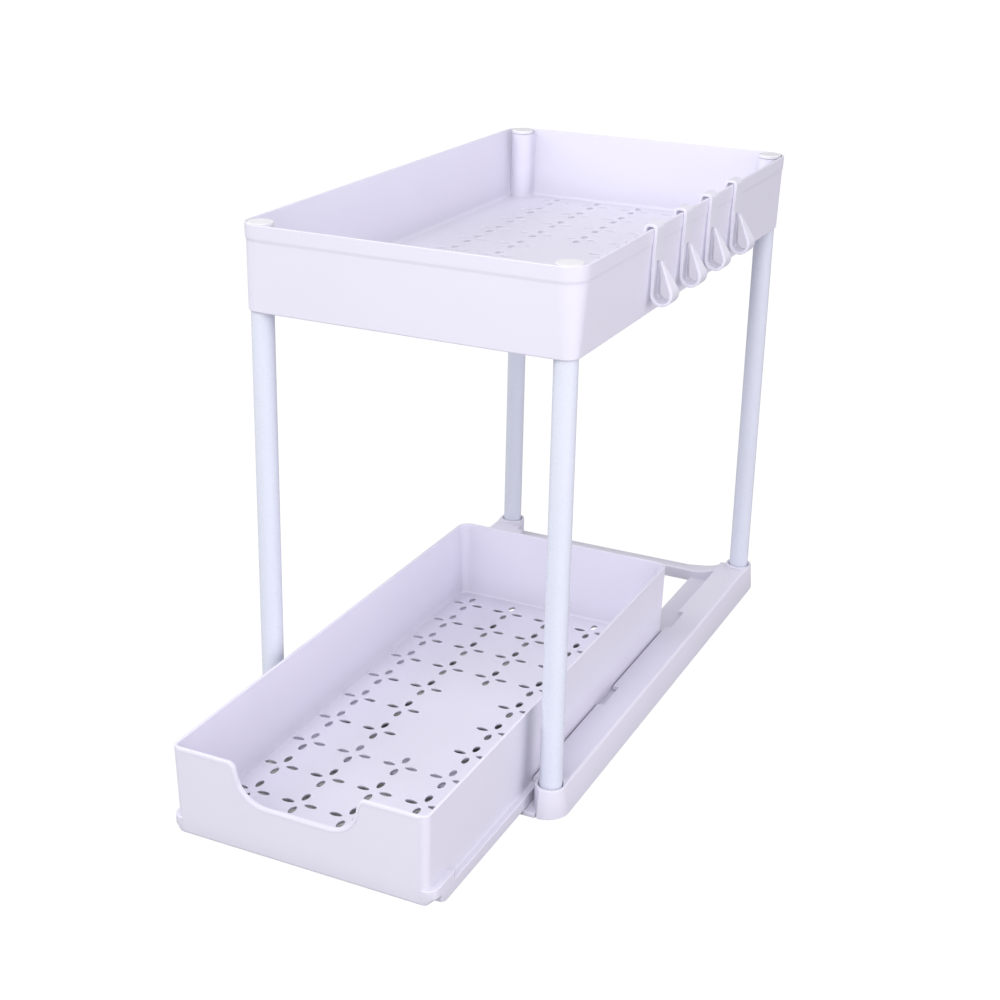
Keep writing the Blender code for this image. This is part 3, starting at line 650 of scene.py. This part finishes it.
# --------------------------------------------------------------------- hooks
def hook(y0):
    """A flat strip with rounded edges swept along the hook's line, its tongue tapered."""
    r = HOOK_RI + HOOK_T / 2
    line = [(HOOK_IN, lerp(352.5, HOOK_TOP - r, k / 3)) for k in range(3)]
    line += [(HOOK_IN + r - r * math.cos(math.radians(9.0 * k)), HOOK_TOP - r + r * math.sin(math.radians(9.0 * k))) for k in range(11)]
    line += [(HOOK_OUT - r + r * math.sin(math.radians(9.0 * k)), HOOK_TOP - r + r * math.cos(math.radians(9.0 * k))) for k in range(11)]
    line += smooth_line([(HOOK_OUT, HOOK_TOP - r), (HOOK_OUT - 0.3, 355.2), (LEG_X, 345.0), (LEG_X, 334.0), (LEG_X, LOOP_Z)], 4)[1:-1]
    loop_x = LEG_X + LOOP_R
    line += [(loop_x - LOOP_R * math.cos(math.radians((180.0 + LEAN) * k / 36)), LOOP_Z - LOOP_R * math.sin(math.radians((180.0 + LEAN) * k / 36))) for k in range(37)]
    end = line[-1]
    line += [(lerp(end[0], TIP_X, k / 10), lerp(end[1], TIP_Z, k / 10)) for k in range(1, 11)]
    mid = [Vector(p) for p in line]

    def ring(i, trim=0.0, push=0.0):
        p = mid[i]
        d1 = (p - mid[i - 1]).normalized() if i else (mid[1] - p).normalized()
        d2 = (mid[i + 1] - p).normalized() if i + 1 < len(mid) else d1
        d = (d1 + d2).normalized()
        n = Vector((-d.y, d.x))
        past = len(mid) - i <= 10 or (len(mid) - i < 30 and p.x > loop_x)
        along = min(1.0, max(0.0, (p.y - LOOP_Z) / (TIP_Z - LOOP_Z))) if past else 0.0
        half_w = lerp(HOOK_W, TIP_W, along) / 2 - trim
        left = len(mid) - 1 - i
        half_t = HOOK_T / 2
        if left < 8:
            half_t *= lerp(0.55, 1.0, left / 8)
        half_t -= trim
        e = min(0.4, half_t * 0.6)
        out = []
        for cx, cy, start in ((half_w - e, half_t - e, 0), (-half_w + e, half_t - e, 90), (-half_w + e, -half_t + e, 180), (half_w - e, -half_t + e, 270)):
            for k in range(4):
                a = math.radians(start + 30.0 * k)
                u, v = cx + e * math.cos(a), cy + e * math.sin(a)
                out.append((p.x + n.x * v + d.x * push, y0 + HOOK_W / 2 + u, p.y + n.y * v + d.y * push))
        return out

    rings = [ring(0, 0.3), ring(0, 0.09, 0.09), ring(0, 0.0, 0.3)] + [ring(i) for i in range(1, len(mid) - 1)]
    last = len(mid) - 1
    rings += [ring(last, 0.0, -0.3), ring(last, 0.09, -0.09), ring(last, 0.25)]
    strip = loft("hook", rings)
    plan = fillet([(y0 + WINDOW_Y, WINDOW_Z0), (y0 + HOOK_W - WINDOW_Y, WINDOW_Z0), (y0 + HOOK_W - WINDOW_Y, WINDOW_Z1), (y0 + WINDOW_Y, WINDOW_Z1)], 0.7)
    return combine(strip, [prism("window", plan, "x", 115.5, 120.05)], "DIFFERENCE")


# ----------------------------------------------------------------- materials
def plastic(name, colour, rough, gloss=0.5, grain=0.015, coat=0.0, shade=0.86, own=False):
    """Moulded plastic or paint: a faint cloudiness in tone and sheen, a very fine grain, and painted shade darkening
    its inner corners.
    """
    mat = bpy.data.materials.new(name)
    mat.use_nodes = True
    nodes, links = mat.node_tree.nodes, mat.node_tree.links
    shader = nodes["Principled BSDF"]
    where = nodes.new("ShaderNodeTexCoord")
    cloud = nodes.new("ShaderNodeTexNoise")
    cloud.inputs["Scale"].default_value = 9.0
    cloud.inputs["Detail"].default_value = 3.0
    links.new(where.outputs["Object"], cloud.inputs["Vector"])
    tone = nodes.new("ShaderNodeValToRGB")
    tone.color_ramp.elements[0].position = 0.3
    tone.color_ramp.elements[1].position = 0.7
    tone.color_ramp.elements[0].color = (*[c * 0.985 for c in colour], 1.0)
    tone.color_ramp.elements[1].color = (*[min(1.0, c * 1.008) for c in colour], 1.0)
    links.new(cloud.outputs["Fac"], tone.inputs["Fac"])
    # painted shade: inner corners are darkened in the base colour by ambient occlusion
    corner = nodes.new("ShaderNodeAmbientOcclusion")
    corner.samples = 6
    corner.only_local = own
    corner.inputs["Distance"].default_value = 0.024
    painted_shade_ramp = nodes.new("ShaderNodeMapRange")
    painted_shade_ramp.interpolation_type = "SMOOTHSTEP"
    for socket, value in (("From Min", 0.4), ("From Max", 0.97), ("To Min", shade), ("To Max", 1.0)):
        painted_shade_ramp.inputs[socket].default_value = value
    links.new(corner.outputs["AO"], painted_shade_ramp.inputs["Value"])
    painted_shade_colour = nodes.new("ShaderNodeVectorMath")
    painted_shade_colour.operation = "SCALE"
    links.new(tone.outputs["Color"], painted_shade_colour.inputs[0])
    links.new(painted_shade_ramp.outputs["Result"], painted_shade_colour.inputs["Scale"])
    links.new(painted_shade_colour.outputs["Vector"], shader.inputs["Base Color"])
    fine = nodes.new("ShaderNodeTexNoise")
    fine.inputs["Scale"].default_value = 1400.0
    fine.inputs["Detail"].default_value = 2.0
    links.new(where.outputs["Object"], fine.inputs["Vector"])
    sheen = nodes.new("ShaderNodeMapRange")
    sheen.inputs["To Min"].default_value = rough - 0.04
    sheen.inputs["To Max"].default_value = rough + 0.04
    links.new(fine.outputs["Fac"], sheen.inputs["Value"])
    links.new(sheen.outputs["Result"], shader.inputs["Roughness"])
    bump = nodes.new("ShaderNodeBump")
    bump.inputs["Strength"].default_value = grain * 10
    bump.inputs["Distance"].default_value = 0.00004
    links.new(fine.outputs["Fac"], bump.inputs["Height"])
    links.new(bump.outputs["Normal"], shader.inputs["Normal"])
    shader.inputs["Specular IOR Level"].default_value = gloss
    shader.inputs["Coat Weight"].default_value = coat
    shader.inputs["Coat Roughness"].default_value = 0.15
    return mat


# BASE, TRAY and HOOK are copies of the body plastic kept apart for painted light: each gets a painted glow below,
# TRAY's painted corner shade counts only its own shape, and HOOK's painted corner shade is lighter
BODY = plastic("satin_body_plastic", (0.805, 0.785, 0.90), 0.42)
BASE = plastic("satin_base_plastic", (0.805, 0.785, 0.90), 0.42)
TRAY = plastic("satin_tray_plastic", (0.805, 0.785, 0.90), 0.42, own=True)
HOOK = plastic("satin_hook_plastic", (0.80, 0.785, 0.885), 0.38, shade=0.95)
CAP = plastic("satin_cap_plastic", (0.84, 0.835, 0.875), 0.36)
TUBE = plastic("tube_coat_paint", (0.76, 0.79, 0.905), 0.28, 0.5, 0.01, 0.15)


def painted_glow(mat, reach, closed, open_to, strength, axis=None, half_x=1.0, tint=(0.80, 0.785, 0.90)):
    """Painted glow: emission standing in for the light that a thin piece lets through to what it covers closely.

    Surfaces that face along the axis, or all, within half_x of the middle, by how far
    the space over them is covered within reach.
    """
    nodes, links = mat.node_tree.nodes, mat.node_tree.links
    shader = nodes["Principled BSDF"]

    def step(operation, source, value):
        made = nodes.new("ShaderNodeMath")
        made.operation = operation
        links.new(source, made.inputs[0])
        made.inputs[1].default_value = value
        return made.outputs["Value"]

    # painted glow: the more closely covered the surface, the stronger its emission
    covered = nodes.new("ShaderNodeAmbientOcclusion")
    covered.samples = 8
    covered.inputs["Distance"].default_value = reach
    glow_amount = nodes.new("ShaderNodeMapRange")
    for socket, value in (("From Min", closed), ("From Max", open_to), ("To Min", strength), ("To Max", 0.0)):
        glow_amount.inputs[socket].default_value = value
    links.new(covered.outputs["AO"], glow_amount.inputs["Value"])
    shape = nodes.new("ShaderNodeNewGeometry")
    facing, where = nodes.new("ShaderNodeSeparateXYZ"), nodes.new("ShaderNodeSeparateXYZ")
    links.new(shape.outputs["Normal"], facing.inputs["Vector"])
    links.new(shape.outputs["Position"], where.inputs["Vector"])
    factors = [step("LESS_THAN", step("ABSOLUTE", step("SUBTRACT", where.outputs["X"], ORIGIN.x), 0.0), half_x)]
    if axis:
        factors.append(step("GREATER_THAN", facing.outputs[axis], 0.9))
    total = glow_amount.outputs["Result"]
    for factor in factors:
        made = nodes.new("ShaderNodeMath")
        made.operation = "MULTIPLY"
        links.new(total, made.inputs[0])
        links.new(factor, made.inputs[1])
        total = made.outputs["Value"]
    links.new(total, shader.inputs["Emission Strength"])
    shader.inputs["Emission Color"].default_value = (*tint, 1.0)


painted_glow(BASE, 0.012, 0.05, 0.42, 0.27, "Z", 0.087)      # painted glow on the base under the drawer's floor
painted_glow(TRAY, 0.005, 0.15, 0.85, 0.19, "X", tint=(0.80, 0.793, 0.85))    # painted glow on the tray's faces behind the hooks' legs
painted_glow(HOOK, 0.008, 0.15, 0.75, 0.08, tint=(0.80, 0.793, 0.85))         # painted glow inside the hooks' own bends


def place(ob, name, body, node, slot, mat, sharp=32.0):
    """From millimetres to the frame, smooth shading, finish and the body it moves with."""
    ob.data.transform(Matrix.Scale(MM, 4))
    ob.data.transform(Matrix.Translation(ORIGIN))
    ob.name = ob.data.name = name
    ob.data.materials.clear()
    ob.data.materials.append(mat)
    ob.data.shade_smooth()
    ob.data.set_sharp_from_angle(angle=math.radians(sharp))
    mod = ob.modifiers.new("normals", "WEIGHTED_NORMAL")
    mod.keep_sharp = True
    mod.weight = 60
    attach(ob, body)
    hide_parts(node)
    return ob


place(base_frame(), "base_frame_skin", "rack", "base_frame", "body_plastic", BASE)
place(upper_tray(), "upper_tray_skin", "rack", "upper_tray", "body_plastic", TRAY)
place(drawer(), "drawer_skin", "drawer", "drawer", "body_plastic", BODY)
for (sx, sy), where in {(-1, -1): "front_left", (1, -1): "front_right", (-1, 1): "rear_left", (1, 1): "rear_right"}.items():
    place(tube(sx * TUBE_X, sy * TUBE_Y), f"tube_{where}_skin", "rack", f"tube_{where}", "tube_coat", TUBE)
    place(cap(sx * TUBE_X, sy * TUBE_Y), f"cap_{where}_skin", "rack", f"cap_{where}", "cap_plastic", CAP)
for number, y0 in enumerate(HOOK_Y, 1):
    place(hook(y0), f"hook_{number}_skin", f"hook_{number}", f"hook_{number}", "hook_plastic", HOOK, 50.0)

# --------------------------------------------------------------- floor, light
bpy.ops.mesh.primitive_plane_add(size=60.0, location=(0.0, 0.0, -0.0002))
floor = bpy.context.object
floor.name = "pale_floor"
# the camera sees it evenly lit and white, except well underneath the drawer and the base, where it sees painted
# shade, a darker diffuse than the grey sheet that all the light falls on
paint = bpy.data.materials.new("pale_floor_paint")
paint.use_nodes = True
tree = paint.node_tree
tree.nodes.clear()


def node(kind, **settings):
    made = tree.nodes.new(kind)
    for key, value in settings.items():
        setattr(made, key, value)
    return made


def ramp(source, a, b, lo, hi):
    made = node("ShaderNodeMapRange", interpolation_type="SMOOTHSTEP")
    for socket, value in (("From Min", a), ("From Max", b), ("To Min", lo), ("To Max", hi)):
        made.inputs[socket].default_value = value
    tree.links.new(source, made.inputs["Value"])
    return made.outputs["Result"]


sheet = node("ShaderNodeBsdfDiffuse")
sheet.inputs["Color"].default_value = (0.45, 0.45, 0.46, 1.0)
above = node("ShaderNodeAmbientOcclusion", samples=16)
above.inputs["Distance"].default_value = 0.03
forward = node("ShaderNodeCombineXYZ")
forward.inputs["X"].default_value = 0.3
forward.inputs["Y"].default_value = -0.954
ahead_of = node("ShaderNodeAmbientOcclusion", samples=16)
ahead_of.inputs["Distance"].default_value = 0.08
tree.links.new(forward.outputs["Vector"], ahead_of.inputs["Normal"])
open_sky = node("ShaderNodeMath", operation="MAXIMUM")
tree.links.new(ramp(above.outputs["AO"], 0.33, 0.45, 0.0, 1.0), open_sky.inputs[0])
tree.links.new(ramp(ahead_of.outputs["AO"], 0.60, 0.66, 0.0, 1.0), open_sky.inputs[1])
ray = node("ShaderNodeLightPath")
glow = node("ShaderNodeEmission")
glow.inputs["Strength"].default_value = 1.03
# painted shade: the darker floor the camera sees well under the drawer and the base
painted_shade_sheet = node("ShaderNodeBsdfDiffuse")
painted_shade_sheet.inputs["Color"].default_value = (0.14, 0.14, 0.15, 1.0)
seen = node("ShaderNodeMixShader")
tree.links.new(open_sky.outputs["Value"], seen.inputs["Fac"])
tree.links.new(painted_shade_sheet.outputs["BSDF"], seen.inputs[1])
tree.links.new(glow.outputs["Emission"], seen.inputs[2])
both = node("ShaderNodeMixShader")
tree.links.new(ray.outputs["Is Camera Ray"], both.inputs["Fac"])
tree.links.new(sheet.outputs["BSDF"], both.inputs[1])
tree.links.new(seen.outputs["Shader"], both.inputs[2])
out = node("ShaderNodeOutputMaterial")
tree.links.new(both.outputs["Shader"], out.inputs["Surface"])
floor.data.materials.append(paint)

world = bpy.data.worlds.new("studio_white")
bpy.context.scene.world = world
world.use_nodes = True
sky = world.node_tree.nodes["Background"]
sky.inputs["Color"].default_value = (1.0, 1.0, 1.0, 1.0)
sky.inputs["Strength"].default_value = 0.515
# seen directly, the backdrop above the floor's edge is as white as the floor
backdrop = world.node_tree.nodes.new("ShaderNodeBackground")
backdrop.inputs["Color"].default_value = (1.0, 1.0, 1.0, 1.0)
backdrop.inputs["Strength"].default_value = 1.03
direct = world.node_tree.nodes.new("ShaderNodeLightPath")
either = world.node_tree.nodes.new("ShaderNodeMixShader")
world.node_tree.links.new(direct.outputs["Is Camera Ray"], either.inputs["Fac"])
world.node_tree.links.new(sky.outputs["Background"], either.inputs[1])
world.node_tree.links.new(backdrop.outputs["Background"], either.inputs[2])
world.node_tree.links.new(either.outputs["Shader"], world.node_tree.nodes["World Output"].inputs["Surface"])


def area(name, where, aim, size, power, colour=(1.0, 1.0, 1.0)):
    data = bpy.data.lights.new(name, "AREA")
    data.shape = "RECTANGLE"
    data.color = colour
    data.size, data.size_y = size
    data.energy = power
    ob = bpy.data.objects.new(name, data)
    bpy.context.scene.collection.objects.link(ob)
    ob.location = where
    ob.rotation_euler = (Vector(aim) - Vector(where)).to_track_quat("-Z", "Y").to_euler()
    return ob


area("front_high_light", (0.2, -1.1, 1.5), (0.0, 0.0, 0.25), (1.2, 1.2), 12.8)
area("front_low_light", (0.3, -2.2, 0.9), (0.0, 0.0, 0.2), (1.6, 1.6), 12.4)
area("right_side_light", (2.0, -0.2, 0.6), (0.0, 0.0, 0.2), (1.4, 1.4), 15.3, (1.04, 1.0, 1.08))
area("left_high_light", (-1.6, -0.3, 1.3), (0.0, 0.0, 0.3), (1.2, 1.2), 12.7)

# --------------------------------------------------------------------- camera
lens = bpy.data.cameras.new("camera")
camera = bpy.data.objects.new("camera", lens)
bpy.context.scene.collection.objects.link(camera)
right = Vector((0.90050515, 0.4344546, 0.01843047))
down = Vector((0.16922299, -0.31107982, -0.93519673))
ahead = Vector((-0.40056717, 0.84526833, -0.35364868))
turn = Matrix((right, -down, -ahead)).transposed().to_4x4()
camera.matrix_world = Matrix.Translation(ORIGIN + Vector((469.940, -1072.416, 600.578)) * MM) @ turn
lens.sensor_width = 36.0
lens.lens = 60.81
lens.shift_x = 0.01304
lens.shift_y = -0.03941
lens.clip_start = 0.05
lens.clip_end = 200.0
bpy.context.scene.camera = camera
bpy.context.scene.view_settings.view_transform = "Standard"
